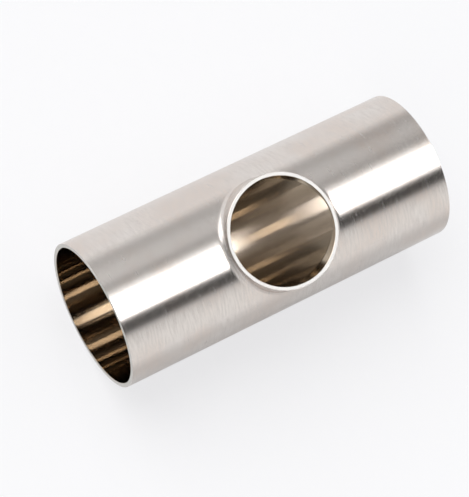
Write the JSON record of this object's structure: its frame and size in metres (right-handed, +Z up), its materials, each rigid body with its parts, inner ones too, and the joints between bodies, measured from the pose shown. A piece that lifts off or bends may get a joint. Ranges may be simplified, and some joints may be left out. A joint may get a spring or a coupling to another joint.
{
  "type": "weld tee",
  "caption": "Short reducing tee for sanitary tubing: a straight run of tube with a smaller outlet drawn out of its side, the ends square and plain for butt welding.",
  "frame": {"origin": "the point where the run's axis and the outlet's axis cross, on the centre line of the run's bore", "axes": "+Z up along the run, +X out along the outlet, +Y across both; the tee stands on its lower run end, at z = -61 mm"},
  "size_m": [0.0532, 0.0508, 0.122],
  "materials": {
    "stainless_tube": "fine brushing round the outside, mirror polish in the bores, bright faced ends"
  },
  "bodies": {
    "root": {"tee_body": "stainless_tube"}
  },
  "joints": []
}
